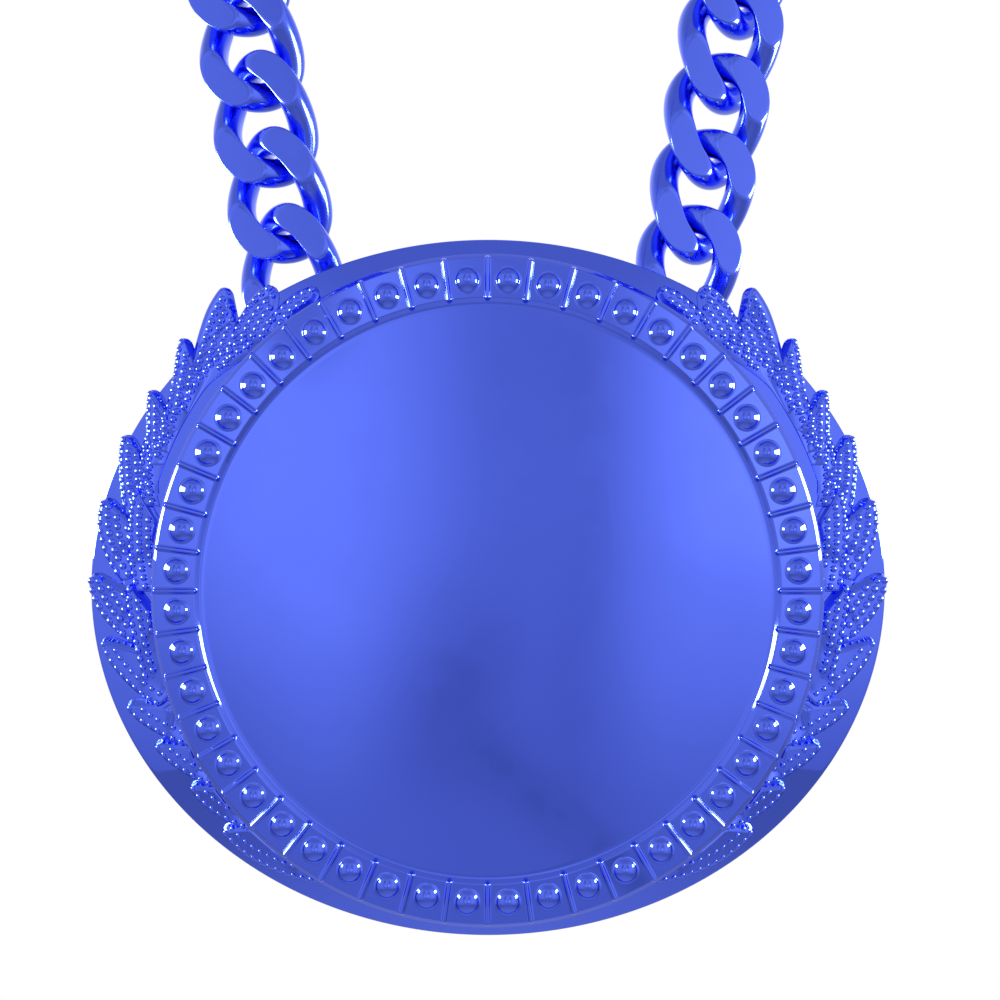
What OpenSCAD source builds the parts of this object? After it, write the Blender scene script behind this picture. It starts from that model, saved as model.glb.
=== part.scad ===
// Oval medal with a studded bezel and a laurel wreath, on a flat cut curb chain.
// The closed loop of chain lies in the plane y = 0, and the medal hangs in front
// of its lower end and faces -Y, with +Z up. The origin is the point at the nape,
// under the clasp, where the loop rests on a neck.

/* [Back plate] */
// Width of the oval plate
plate_w = 74.4; // [74:0.2:78]
// Height of the oval plate
plate_h = 65.2; // [64.6:0.2:68]
// Thickness at the rim
rim_t = 2.2; // [2:0.1:2.6]
// Rise of the sloping margin from the rim to the bezel
margin_rise = 1.7; // [1.4:0.1:2.2]
// Chamfer round the back edge
back_chamfer = 0.4; // [0.2:0.1:0.6]
// Radius of the plain sunk panel in the back
panel_r = 23; // [10:0.5:24]
// Depth of the sunk panel
panel_depth = 1.2; // [0.4:0.1:2]

/* [Bezel and field] */
// Outer diameter of the bezel
bezel_d = 61; // [60.6:0.1:61.2]
// Width of the bezel
bezel_w = 4.45; // [4.3:0.05:4.6]
// Height of the bezel's face above the plate's back
bezel_top = 7.3; // [7.2:0.1:7.6]
// Width of the steep bevel round the bezel's outer edge
bevel_w = 0.5; // [0.3:0.05:0.6]
// Drop of that bevel
bevel_drop = 0.6; // [0.4:0.05:1]
// Number of cells round the bezel
cells = 48; // [24:1:48]
// Radius of the domed stud in each cell, on the bezel's face
stud_r = 1.1; // [0.8:0.05:1.2]
// Height of a stud above the bezel's face
stud_h = 0.6; // [0.5:0.05:0.8]
// Radius of the ridge between two cells
ridge_r = 0.3; // [0.2:0.05:0.4]
// How far the field lies below the bezel's face
field_depth = 0.4; // [0.4:0.05:1]
// Thickness of the field disc
field_t = 1.2; // [1:0.1:1.3]

/* [Wreath] */
// Height of a leaf above the margin at its root
leaf_root_h = 0.45; // [0.3:0.05:0.8]
// Height of a leaf above the margin at its tip
leaf_tip_h = 1.5; // [1:0.05:2]

/* [Chain] */
// Links in each half of the chain
links_per_side = 39; // [36:1:42]
// Distance from one link to the next
pitch = 7.5; // [7.45:0.01:7.6]
// Diameter of the link's wire
wire_d = 2.8; // [2.4:0.1:2.8]
// Thickness of the chain over its two cut faces
chain_t = 3.8; // [3.4:0.1:4.2]
// Lean of each strand from the vertical, in degrees
strand_lean = 10.4; // [8:0.1:14]
// Outward turn of the links along each strand, in degrees
strand_roll = 12; // [0:1:14]

/* [Clasp] */
// Distance from the clasp's middle to the centre of each eye
clasp_half = 9; // [8.5:0.1:12]
// Width of the clasp's body
clasp_w = 8.6; // [6:0.2:10]
// Thickness of the clasp's body
clasp_t = 4; // [3.4:0.2:5]

/* [Hidden] */
metal = [0.30, 0.38, 0.86];

// Clearance between two pieces that are fitted into each other
fit_gap = 0.1;
// Clearance under the leaves, which lie on a curved margin
leaf_gap = 0.18;
plate_sides = 72;
bezel_r = bezel_d / 2;
bezel_in_r = bezel_r - bezel_w;
field_top = bezel_top - field_depth;
boss_top = field_top - field_t - fit_gap;
// The boss stands this far inside the bezel, and this high over the bezel's seat
boss_step = 1;
boss_h = 2.6;
// The boss runs this far down into the plate
boss_root = 0.3;
seat_z = boss_top - boss_h;
rim_round = 0.12;
cell_step = 360 / cells;
// Width and drop of the bezel's inner bevel, and the two edges of its flat face
inner_bevel_w = 0.4;
inner_bevel_drop = 0.36;
face_out_r = bezel_r - bevel_w;
face_in_r = bezel_in_r + inner_bevel_w;
// The studs stand on a circle this far outside the bezel's inner edge
stud_in = 2.02;
stud_ring_r = bezel_in_r + stud_in;
// A stud is the top of a sphere of this radius
stud_sphere_r = (stud_r * stud_r + stud_h * stud_h) / (2 * stud_h);
// A ridge stops this far short of the two edges of the face
ridge_stop = 0.1;

// Play between the end wires of two linked links
link_play = 0.2;
// Half length and half width of a link's centre line, and its twist out of plane
link_a = (pitch + wire_d + link_play) / 2;
link_b = 3.72;
link_c = 1.77;
link_segments = 12;
link_sides = 6;

// The eyes that the end links pass through
eye_r = 2.5;
eye_wire_r = 0.8;
// Height of a lug's post, which runs on into the plate
post_h = 2.2;
// The wire crosses the end of a link at this slant, and each eye stands square to it
eye_slant = atan2(link_b, 2 * link_c);

// The lugs on the plate's back, from the bezel's centre
lug_x = 18.3;
lug_z = 25.25;
// Distance of the plate's back in front of the chain's plane
back_gap = 3.1;

// The loop: a straight strand from each lug, then one arc round the nape
half_length = 2 * link_a + (links_per_side - 1) * pitch + clasp_half;
arc_turn = 90 + strand_lean;
arc_r = (lug_x + half_length * sin(strand_lean))
      / (cos(strand_lean) + arc_turn * PI / 180 * sin(strand_lean));
strand_length = half_length - arc_r * arc_turn * PI / 180;
rest_gap = link_b + wire_d / 2;
arc_z = rest_gap - arc_r;
medal_z = arc_z - arc_r * sin(strand_lean) - strand_length * cos(strand_lean) - lug_z;

// Leaves of the left spray, from the bezel's centre, lowest first: the tip, the root,
// how far the midrib bows to its left from root to tip, and the width
TIP_X = 0;
TIP_Y = 1;
ROOT_X = 2;
ROOT_Y = 3;
BOW = 4;
WIDTH = 5;
outer_leaves = [
    [-24.6, -22.2, -14.4, -26.9, 0.7, 2.3],
    [-27.5, -18.1, -21.7, -22.1, 0.1, 2.1],
    [-30.8, -14.3, -25.0, -18.0, -0.1, 2.3],
    [-33.5, -10.7, -27.4, -14.2, -0.1, 2.3],
    [-35.8, -4.7, -30.2, -10.6, 0.2, 2.2],
    [-36.8, 1.3, -32.4, -4.8, 0.3, 2.6],
    [-35.5, 8.4, -33.5, 0.8, 0.4, 2.4],
    [-33.6, 14.3, -33.2, 6.8, -0.2, 2.3],
    [-31.2, 18.5, -31.1, 11.4, -0.4, 2.1],
    [-28.2, 23.3, -29.4, 16.2, -0.5, 2.2],
    [-24.3, 28.0, -27.4, 18.4, 0.0, 2.6],
    [-19.9, 28.1, -23.9, 21.0, 0.3, 2.4],
    [-15.8, 27.8, -20.6, 23.6, 0.2, 2.0]
];
inner_leaves = [
    [-33.0, 0.4, -31.5, -8.4, -0.2, 2.0],
    [-32.4, 9.2, -32.2, -0.3, 0.0, 2.2],
    [-30.5, 15.7, -31.6, 7.7, 0.4, 2.0],
    [-28.0, 20.1, -30.3, 12.7, 0.0, 2.0],
    [-22.1, 23.2, -28.2, 16.4, 0.4, 2.0]
];
// Along each leaf: the place from root to tip, and the share of the full width there
leaf_places = [0, 0.25, 0.55, 0.8, 0.94, 1];
leaf_widths = [0.5, 0.85, 1, 0.88, 0.62, 0.36];
// Across each leaf, from the bezel's side to the rim's: the share of the half width,
// and the share of the height
leaf_across = [-1, -0.72, 0, 0.72, 1];
leaf_crown = [0, 0.62, 0.85, 1, 0];
stem_w = 1;
stem_h = 0.4;
// The undersides of two neighbouring leaves differ by this in height
leaf_step = 0.06;
// No point of a leaf or of the stem is nearer to the bezel's centre than this
leaf_in_r = bezel_r + 1.5 * fit_gap;

// Radius of the plate's outline in the direction of an angle
function plate_r(angle) =
    1 / norm([cos(angle) / (plate_w / 2), sin(angle) / (plate_h / 2)]);

// Height of the sloping margin over the plate's back, at a point between the rim and
// the bezel: the rim's height outside it, and the bezel's foot inside it
function margin_z(x, y) =
    let (rim = plate_r(atan2(y, x)), way_in = (rim - norm([x, y])) / (rim - bezel_r))
    rim_t + margin_rise * max(0, min(1, way_in));

// One closed outline of the plate, moved in by a distance, at a height
function plate_ring(inset, z) =
    [for (i = [0 : plate_sides - 1])
        let (angle = 360 / plate_sides * i, r = plate_r(angle) - inset)
        [r * cos(angle), r * sin(angle), z]];

// The round edge of the bezel's seat, at a height
function foot_ring(z) =
    [for (i = [0 : plate_sides - 1])
        let (angle = 360 / plate_sides * i)
        [bezel_r * cos(angle), bezel_r * sin(angle), z]];

// A solid through equal rings of points, each going anticlockwise round the way on
module skin(rings) {
    n = len(rings[0]);
    last = (len(rings) - 1) * n;
    sides = [for (k = [0 : len(rings) - 2], i = [0 : n - 1])
        let (a = k * n + i, b = k * n + (i + 1) % n)
        each [[a, a + n, b], [b, a + n, b + n]]];
    ends = [for (i = [1 : n - 2]) each [[0, i, i + 1], [last, last + i + 1, last + i]]];
    polyhedron([for (ring = rings) each ring], concat(sides, ends));
}

// A closed tube through equal rings of points that come back to the first
module closed_skin(rings) {
    n = len(rings[0]);
    m = len(rings);
    polyhedron([for (ring = rings) each ring],
               [for (k = [0 : m - 1], i = [0 : n - 1])
                   let (a = k * n + i, b = k * n + (i + 1) % n,
                        c = (k + 1) % m * n + i, d = (k + 1) % m * n + (i + 1) % n)
                   each [[a, c, b], [b, c, d]]]);
}

// Puts the medal's own frame, face up on z = 0, in front of the chain
module as_hung() {
    translate([0, -back_gap, medal_z]) rotate([90, 0, 0]) children();
}

// The oval plate without its lugs: the margin slopes up from the rim to the bezel,
// which sits in a round recess, and the boss inside the bezel carries the field
module plate_body() {
    difference() {
        skin([plate_ring(back_chamfer, 0),
              plate_ring(0, back_chamfer),
              plate_ring(0, rim_t - rim_round),
              plate_ring(rim_round, rim_t),
              foot_ring(rim_t + margin_rise)]);
        translate([0, 0, seat_z])
            cylinder(r = bezel_r + fit_gap, h = bezel_top, $fn = 96);
        translate([0, 0, -1]) cylinder(r = panel_r, h = panel_depth + 1, $fn = 96);
    }
    translate([0, 0, seat_z - boss_root])
        cylinder(r = bezel_in_r - boss_step, h = boss_root + boss_h, $fn = 96);
}

// An eye round the end wire of a link, in the link's frame: end is 1 or -1, for the
// wire at the link's +X or -X end
module eye(end) {
    rotate([end * eye_slant, 0, 0]) rotate_extrude($fn = 48)
        translate([eye_r, 0]) circle(r = eye_wire_r, $fn = 24);
}

// A lug: an eye on a short post from the plate's back, for the first link of a strand
module lug(side) {
    on_chain(side, 0) {
        eye(-1);
        translate([0, -eye_r * cos(eye_slant), eye_r * sin(eye_slant)])
            cylinder(r = eye_wire_r, h = post_h, $fn = 24);
    }
}

// Place, heading from +X, and roll of the chain at a distance from the lug
function chain_at(side, s) =
    let (turned = max(0, s - strand_length) / arc_r * 180 / PI,
         up = min(s, strand_length),
         lean = strand_lean - turned,
         on_arc = s > strand_length,
         x = on_arc ? arc_r * cos(lean) : lug_x + up * sin(strand_lean),
         z = on_arc ? arc_z - arc_r * sin(lean)
                    : medal_z + lug_z + up * cos(strand_lean))
    [side * x, z, 90 - side * lean, side * strand_roll * (1 - turned / arc_turn)];

// Moves a child from a link's frame, X along the chain and Z to the front, to its place
module on_chain(side, s) {
    at = chain_at(side, s);
    translate([at[0], 0, at[1]]) rotate([0, -at[2], 0]) rotate([90, 0, 0])
        rotate([at[3], 0, 0]) children();
}

// A point of a link's frame moved to its place along the chain
function chain_point(at, p) =
    let (y = p[1] * cos(at[3]) - p[2] * sin(at[3]),
         z = p[1] * sin(at[3]) + p[2] * cos(at[3]))
    [at[0] + p[0] * cos(at[2]) - y * sin(at[2]),
     -z,
     at[1] + p[0] * sin(at[2]) + y * cos(at[2])];

// One section of a link's wire: a point of the twisted oval, with the wire round it
// cut off flat where it stands out of the chain's two faces
function link_section(t) =
    let (middle = [link_a * cos(t), link_b * sin(t), -link_c * sin(2 * t)],
         way = [-link_a * sin(t), link_b * cos(t), -2 * link_c * cos(2 * t)],
         level = cross([0, 0, 1], way),
         side = level / norm(level),
         over = cross(way, side) / norm(way),
         face = chain_t / 2)
    [for (k = [0 : link_sides - 1])
        let (u = 360 / link_sides * k,
             p = middle + wire_d / 2 * (side * cos(u) + over * sin(u)))
        [p[0], p[1], min(face, max(-face, p[2]))]];

// Half of the chain, from its lug to the clasp
module half_chain(side) {
    for (i = [0 : links_per_side - 1]) {
        at = chain_at(side, link_a + i * pitch);
        closed_skin([for (k = [0 : link_segments - 1])
            [for (p = link_section(360 / link_segments * k)) chain_point(at, p)]]);
    }
}

// A point moved out from the centre until it is clear of the bezel
function clear_of_bezel(p) = p * max(1, leaf_in_r / norm(p));

// One leaf of the left spray, from its root to its raised tip, with its underside
// lifted by a distance
module leaf(row, lift) {
    root = [row[ROOT_X], row[ROOT_Y]];
    run = [row[TIP_X], row[TIP_Y]] - root;
    left = [-run[1], run[0]] / norm(run);
    skin([for (k = [0 : len(leaf_places) - 1])
        let (t = leaf_places[k],
             rib = root + run * t + left * row[BOW] * 4 * t * (1 - t),
             half = row[WIDTH] / 2 * leaf_widths[k],
             high = leaf_root_h + (leaf_tip_h - leaf_root_h) * t)
        [for (m = [len(leaf_across) - 1 : -1 : 0])
            let (p = clear_of_bezel(rib + left * half * leaf_across[m]))
            [p[0], p[1], margin_z(p[0], p[1]) + leaf_gap + lift
                         + (high - lift) * leaf_crown[m]]]]);
}

// Root of an outer leaf, or the point between two roots for a number between them
function root_at(q) =
    let (row = outer_leaves[floor(q)], next = outer_leaves[ceil(q)], f = q - floor(q))
    [row[ROOT_X] * (1 - f) + next[ROOT_X] * f, row[ROOT_Y] * (1 - f) + next[ROOT_Y] * f];

// The low stem that the leaves of the left spray spring from
module stem() {
    skin([for (q = [0 : 0.5 : len(outer_leaves) - 1])
        let (p = root_at(q), out = p / norm(p))
        [for (m = [1 : -1 : -1])
            let (at = clear_of_bezel(p + out * m * stem_w / 2))
            [at[0], at[1], margin_z(at[0], at[1]) + leaf_gap + stem_h * (1 - abs(m))]]]);
}

module left_spray() {
    stem();
    for (i = [0 : len(outer_leaves) - 1])
        leaf(outer_leaves[i], leaf_step * (1 + i % 2));
    for (i = [0 : len(inner_leaves) - 1])
        leaf(inner_leaves[i], leaf_step * (3 + i % 2));
}

module back_plate() {
    color(metal) {
        as_hung() plate_body();
        lug(-1);
        lug(1);
    }
}

// The bezel: a ring with a domed stud in each cell and a rounded ridge between cells
module bezel_ring() {
    color(metal) as_hung() {
        rotate_extrude($fn = 192) polygon([
            [bezel_in_r, seat_z + fit_gap],
            [bezel_r, seat_z + fit_gap],
            [bezel_r, bezel_top - bevel_drop],
            [face_out_r, bezel_top],
            [face_in_r, bezel_top],
            [bezel_in_r, bezel_top - inner_bevel_drop]]);
        for (i = [0 : cells - 1]) rotate([0, 0, (i + 0.5) * cell_step])
            translate([0, stud_ring_r, bezel_top + stud_h - stud_sphere_r])
                sphere(r = stud_sphere_r, $fn = 32);
        for (i = [0 : cells - 1]) rotate([0, 0, i * cell_step])
            translate([0, face_in_r + ridge_stop, bezel_top]) rotate([-90, 0, 0])
                cylinder(r = ridge_r, h = face_out_r - face_in_r - 2 * ridge_stop,
                         $fn = 16);
    }
}

module field_disc() {
    color(metal) as_hung() translate([0, 0, field_top - field_t])
        cylinder(r = bezel_in_r - fit_gap, h = field_t, $fn = 192);
}

module laurel_left() {
    color(metal) as_hung() left_spray();
}

module laurel_right() {
    color(metal) as_hung() mirror([1, 0, 0]) left_spray();
}

module chain_left() {
    color(metal) half_chain(-1);
}

module chain_right() {
    color(metal) half_chain(1);
}

// The clasp at the nape: a plain box with an eye for each end of the chain
module clasp() {
    body_half = clasp_half - eye_r + eye_wire_r / 2;
    color(metal) {
        translate([-body_half, -clasp_t / 2, rest_gap - clasp_w / 2])
            cube([2 * body_half, clasp_t, clasp_w]);
        on_chain(-1, half_length - clasp_half) eye(1);
        on_chain(1, half_length - clasp_half) eye(1);
    }
}

back_plate();
bezel_ring();
field_disc();
laurel_left();
laurel_right();
chain_left();
chain_right();
clasp();
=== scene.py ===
"""Looks of the medal on chain: finer solids over the CAD nodes, in the same frame, with
a blue-coated polished metal, a white studio and a camera straight in front."""

import math

import bpy
import numpy as np
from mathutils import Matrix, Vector


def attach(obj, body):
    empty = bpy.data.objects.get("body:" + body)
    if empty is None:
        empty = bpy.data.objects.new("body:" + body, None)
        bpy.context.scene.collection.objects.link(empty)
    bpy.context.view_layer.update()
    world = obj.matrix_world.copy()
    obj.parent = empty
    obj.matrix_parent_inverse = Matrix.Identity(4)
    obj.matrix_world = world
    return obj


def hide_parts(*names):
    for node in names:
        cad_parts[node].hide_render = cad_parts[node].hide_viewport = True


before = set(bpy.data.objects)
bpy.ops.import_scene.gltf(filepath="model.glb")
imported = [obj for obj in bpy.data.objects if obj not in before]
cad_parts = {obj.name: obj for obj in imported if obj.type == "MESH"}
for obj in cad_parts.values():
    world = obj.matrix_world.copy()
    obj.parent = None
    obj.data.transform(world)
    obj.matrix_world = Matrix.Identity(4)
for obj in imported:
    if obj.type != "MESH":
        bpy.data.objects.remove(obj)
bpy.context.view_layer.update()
TAU = 2 * math.pi
# Lengths are in mm where no comment says m, and this is one mm in m
MM = 0.001

# The values of the part's source
PLATE_W, PLATE_H, RIM_T, MARGIN_RISE = 74.4, 65.2, 2.2, 1.7
BACK_CHAMFER, PANEL_R, PANEL_DEPTH = 0.4, 23, 1.2
BEZEL_R, BEZEL_IN_R, BEZEL_TOP, SEAT_Z = 30.5, 26.05, 7.3, 3.0
FACE_OUT_R, STUD_RING_R, CELLS = 30.0, 28.07, 48
FIELD_TOP, FIELD_T, BOSS_TOP = 6.9, 1.2, 5.6
LEAF_ROOT_H = 0.45
LINKS, PITCH, WIRE_R, CHAIN_T = 39, 7.5, 1.4, 3.8
LINK_A, LINK_B, LINK_C = 5.25, 3.72, 1.77
EYE_R, EYE_WIRE_R, POST_H = 2.5, 0.8, 2.2
EYE_SLANT = math.atan2(LINK_B, 2 * LINK_C)
LUG_X, LUG_Z, BACK_GAP = 18.3, 25.25, 3.1
CLASP_HALF, CLASP_W, CLASP_T = 9, 8.6, 4
LEAN, ROLL = math.radians(10.4), math.radians(12)
HALF_LENGTH = 2 * LINK_A + (LINKS - 1) * PITCH + CLASP_HALF
ARC_TURN = math.pi / 2 + LEAN
ARC_R = (LUG_X + HALF_LENGTH * math.sin(LEAN)) / (
    math.cos(LEAN) + ARC_TURN * math.sin(LEAN)
)
STRAND = HALF_LENGTH - ARC_R * ARC_TURN
REST_GAP = LINK_B + WIRE_R
ARC_Z = REST_GAP - ARC_R
MEDAL_Z = ARC_Z - ARC_R * math.sin(LEAN) - STRAND * math.cos(LEAN) - LUG_Z

# Leaves of the left spray, lowest first: tip, root, bow of the midrib, width
OUTER_LEAVES = [
    (-24.6, -22.2, -14.4, -26.9, 0.7, 2.3),
    (-27.5, -18.1, -21.7, -22.1, 0.1, 2.1),
    (-30.8, -14.3, -25.0, -18.0, -0.1, 2.3),
    (-33.5, -10.7, -27.4, -14.2, -0.1, 2.3),
    (-35.8, -4.7, -30.2, -10.6, 0.2, 2.2),
    (-36.8, 1.3, -32.4, -4.8, 0.3, 2.6),
    (-35.5, 8.4, -33.5, 0.8, 0.4, 2.4),
    (-33.6, 14.3, -33.2, 6.8, -0.2, 2.3),
    (-31.2, 18.5, -31.1, 11.4, -0.4, 2.1),
    (-28.2, 23.3, -29.4, 16.2, -0.5, 2.2),
    (-24.3, 28.0, -27.4, 18.4, 0.0, 2.6),
    (-19.9, 28.1, -23.9, 21.0, 0.3, 2.4),
    (-15.8, 27.8, -20.6, 23.6, 0.2, 2.0),
]
INNER_LEAVES = [
    (-33.0, 0.4, -31.5, -8.4, -0.2, 2.0),
    (-32.4, 9.2, -32.2, -0.3, 0.0, 2.2),
    (-30.5, 15.7, -31.6, 7.7, 0.4, 2.0),
    (-28.0, 20.1, -30.3, 12.7, 0.0, 2.0),
    (-22.1, 23.2, -28.2, 16.4, 0.4, 2.0),
]


# Meshes


def smoothstep(x, lo, hi):
    """0 up to lo, 1 from hi on, and smooth between; the other way round where hi < lo."""
    t = np.clip((np.asarray(x, float) - lo) / (hi - lo), 0, 1)
    return t * t * (3 - 2 * t)


def curve_through(x, xs, ys):
    """A smooth curve through the given points."""
    xs, ys = np.asarray(xs, float), np.asarray(ys, float)
    slope = np.gradient(ys, xs)
    i = np.clip(np.searchsorted(xs, x, "right") - 1, 0, len(xs) - 2)
    h = xs[i + 1] - xs[i]
    t = (x - xs[i]) / h
    return (
        ys[i] * (1 + 2 * t) * (1 - t) ** 2
        + ys[i + 1] * t * t * (3 - 2 * t)
        + slope[i] * h * t * (1 - t) ** 2
        - slope[i + 1] * h * t * t * (1 - t)
    )


def skin(rings, closed=False):
    """Points, quads and triangles of a solid through equal closed rings of points."""
    rings = np.asarray(rings, float)
    m, n, _ = rings.shape
    i = np.arange(m if closed else m - 1)[:, None]
    j = np.arange(n)[None]
    k, l = (i + 1) % m, (j + 1) % n
    quads = np.stack([i * n + j, i * n + l, k * n + l, k * n + j], -1).reshape(-1, 4)
    points = rings.reshape(-1, 3)
    tris = np.zeros((0, 3), int)
    if not closed:
        points = np.concatenate([points, [rings[0].mean(0), rings[-1].mean(0)]])
        j, l = j[0], l[0]
        first, last = np.full(n, m * n), np.full(n, m * n + 1)
        tris = np.concatenate(
            [
                np.stack([l, j, first], -1),
                np.stack([(m - 1) * n + j, (m - 1) * n + l, last], -1),
            ]
        )
    # The faces are turned over where they enclose a negative volume
    a, b, c, d = (points[quads[:, x]] for x in range(4))
    volume = (np.cross(a, b) * c).sum() + (np.cross(a, c) * d).sum()
    a, b, c = (points[tris[:, x]] for x in range(3))
    if volume + (np.cross(a, b) * c).sum() < 0:
        quads, tris = quads[:, ::-1], tris[:, ::-1]
    return points, quads, tris


def mesh_object(name, shapes, material, slot, *nodes, even=False):
    """One piece from several closed shapes, in mm, that stands for CAD nodes."""
    shift = 0
    points, quads, tris = [], [], []
    for p, q, t in shapes:
        points.append(p)
        quads.append(q + shift)
        tris.append(t + shift)
        shift += len(p)
    points = np.concatenate(points) * MM
    quads, tris = np.concatenate(quads), np.concatenate(tris)
    mesh = bpy.data.meshes.new(name)
    mesh.vertices.add(len(points))
    mesh.vertices.foreach_set("co", points.astype(np.float32).ravel())
    mesh.loops.add(4 * len(quads) + 3 * len(tris))
    mesh.loops.foreach_set(
        "vertex_index", np.concatenate([quads.ravel(), tris.ravel()]).astype(np.int32)
    )
    total = np.concatenate([np.full(len(quads), 4), np.full(len(tris), 3)])
    mesh.polygons.add(len(total))
    mesh.polygons.foreach_set("loop_start", (np.cumsum(total) - total).astype(np.int32))
    mesh.polygons.foreach_set("use_smooth", np.ones(len(total), bool))
    mesh.update(calc_edges=True)
    mesh.validate()
    mesh.materials.append(material)
    obj = bpy.data.objects.new(name, mesh)
    bpy.context.scene.collection.objects.link(obj)
    if even:
        obj.modifiers.new("even", "WEIGHTED_NORMAL")
    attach(obj, "root")
    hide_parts(*nodes)
    return obj


def rounded(corners, steps=5, closed=False):
    """A profile through (x, y, radius) corners, with an arc at each one."""
    out = []
    n = len(corners)
    for k, (x, y, r) in enumerate(corners):
        p = np.array([x, y], float)
        if r == 0 or (not closed and k in (0, n - 1)):
            out.append(p)
            continue
        a = np.array(corners[k - 1][:2]) - p
        b = np.array(corners[(k + 1) % n][:2]) - p
        a, b = a / np.linalg.norm(a), b / np.linalg.norm(b)
        half = math.acos(np.clip(a @ b, -1, 1)) / 2
        reach = r / math.tan(half)
        centre = p + (a + b) / np.linalg.norm(a + b) * r / math.sin(half)
        start, end = p + a * reach - centre, p + b * reach - centre
        turn = math.pi - 2 * half
        for i in range(steps + 1):
            f = i / steps
            out.append(
                centre
                + (start * math.sin((1 - f) * turn) + end * math.sin(f * turn))
                / math.sin(turn)
            )
    return np.array(out)


def hung(p):
    """From the medal's own frame, face up on z = 0, to its place in front of the chain."""
    p = np.asarray(p, float)
    return np.stack([p[..., 0], -BACK_GAP - p[..., 2], MEDAL_Z + p[..., 1]], -1)


def placed(shape, move):
    """A shape whose points are moved."""
    return move(shape[0]), shape[1], shape[2]


def revolved(profile, sides, closed=False):
    """A solid of revolution about z from an (r, z) profile."""
    a = TAU * np.arange(sides) / sides
    r, z = profile[:, :1], profile[:, 1:]
    return skin(
        np.stack([r * np.cos(a), r * np.sin(a), z + 0 * a], -1), closed
    )


# Materials


class Nodes:
    """Short calls that add nodes to a tree and link them."""

    def __init__(self, tree):
        self.tree = tree

    def add(self, kind, inputs=(), out=0, **settings):
        node = self.tree.nodes.new(kind)
        for key, value in settings.items():
            setattr(node, key, value)
        for key, value in dict(inputs).items():
            if isinstance(value, bpy.types.NodeSocket):
                self.tree.links.new(value, node.inputs[key])
            else:
                node.inputs[key].default_value = value
        return node.outputs[out]

    def math(self, op, a, b=0.0, c=0.0):
        return self.add("ShaderNodeMath", {0: a, 1: b, 2: c}, operation=op)

    def plus(self, a, b):
        return self.math("ADD", a, b)

    def times(self, first, *others):
        for other in others:
            first = self.math("MULTIPLY", first, other)
        return first

    def scaled(self, x, factor, start):
        """The sum of start and factor times x."""
        return self.math("MULTIPLY_ADD", x, factor, start)

    def size(self, x):
        return self.math("ABSOLUTE", x)

    def square(self, x):
        return self.math("POWER", x, 2.0)

    def mixed(self, share, a, b):
        """Numbers from a to b as share goes from 0 to 1."""
        return self.add("ShaderNodeMix", {"Factor": share, 2: a, 3: b})

    def mixed_colour(self, share, a, b):
        return self.add(
            "ShaderNodeMix", {"Factor": share, 6: a, 7: b}, out=2, data_type="RGBA"
        )

    def step(self, x, lo, hi, start=0.0, end=1.0):
        """A smooth step from start to end as x goes from lo to hi."""
        return self.add(
            "ShaderNodeMapRange",
            {"Value": x, "From Min": lo, "From Max": hi, "To Min": start, "To Max": end},
            interpolation_type="SMOOTHSTEP",
        )

    def between(self, x, out_lo, in_lo, in_hi, out_hi):
        """1 between the two inner values of x, and fading to 0 at the outer ones."""
        return self.times(self.step(x, out_lo, in_lo), self.step(x, out_hi, in_hi))

    def levels(self, x, points):
        """A smooth curve through (degrees, level) points, with levels up to 2."""
        lo, hi = points[0][0], points[-1][0]
        share = self.add("ShaderNodeMapRange", {"Value": x, "From Min": lo, "From Max": hi})
        node = self.tree.nodes.new("ShaderNodeFloatCurve")
        curve = node.mapping.curves[0]
        places = [((at - lo) / (hi - lo), level / 2) for at, level in points]
        curve.points[0].location = places[0]
        curve.points[1].location = places[-1]
        for place in places[1:-1]:
            curve.points.new(*place)
        node.mapping.update()
        self.tree.links.new(share, node.inputs["Value"])
        return self.times(node.outputs[0], 2.0)

    def noise(self, vector, scale, detail=3.0, rough=0.5):
        return self.add(
            "ShaderNodeTexNoise",
            {"Vector": vector, "Scale": scale, "Detail": detail, "Roughness": rough},
        )

    def bump(self, height, distance, **normal):
        return self.add(
            "ShaderNodeBump",
            {"Height": height, "Distance": distance, "Strength": 1.0, **normal},
        )


# The blue coating, and the scales of its marks: wear, soft dents, hairlines across the
# medal and fine haze
COATING = (0.117, 0.185, 1.0, 1)
WEAR_SCALE, DENT_SCALE, HAIR_SCALE, HAZE_SCALE = 260.0, 420.0, 900.0, 5200.0
HAIR_SQUEEZE = (1.0, 1.0, 14.0)
# Where wear starts and ends in its noise, and its share of the spread in roughness
WEAR_RANGE, WEAR_SHARE = (0.35, 0.7), 0.6


def metal(name, rough, spread, dent, hair):
    """Blue-coated polished metal: roughness from rough to rough + spread, soft dents
    and fine polishing hairlines of the given heights in m."""
    mat = bpy.data.materials.new(name)
    mat.use_nodes = True
    tree = mat.node_tree
    n = Nodes(tree)
    shader = tree.nodes["Principled BSDF"]
    shader.inputs["Base Color"].default_value = COATING
    shader.inputs["Metallic"].default_value = 1
    where = n.add("ShaderNodeTexCoord", out="Object")
    wear = n.step(n.noise(where, WEAR_SCALE), *WEAR_RANGE)
    haze = n.noise(where, HAZE_SCALE, detail=4.0, rough=0.6)
    roughness = n.plus(
        n.scaled(wear, spread * WEAR_SHARE, rough), n.times(haze, spread * (1 - WEAR_SHARE))
    )
    tree.links.new(roughness, shader.inputs["Roughness"])
    along = n.add("ShaderNodeMapping", {"Vector": where, "Scale": HAIR_SQUEEZE})
    hairs = n.noise(along, HAIR_SCALE, detail=5.0, rough=0.65)
    dents = n.bump(n.noise(where, DENT_SCALE, detail=2.0), dent)
    tree.links.new(n.bump(hairs, hair, Normal=dents), shader.inputs["Normal"])
    return mat


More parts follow.
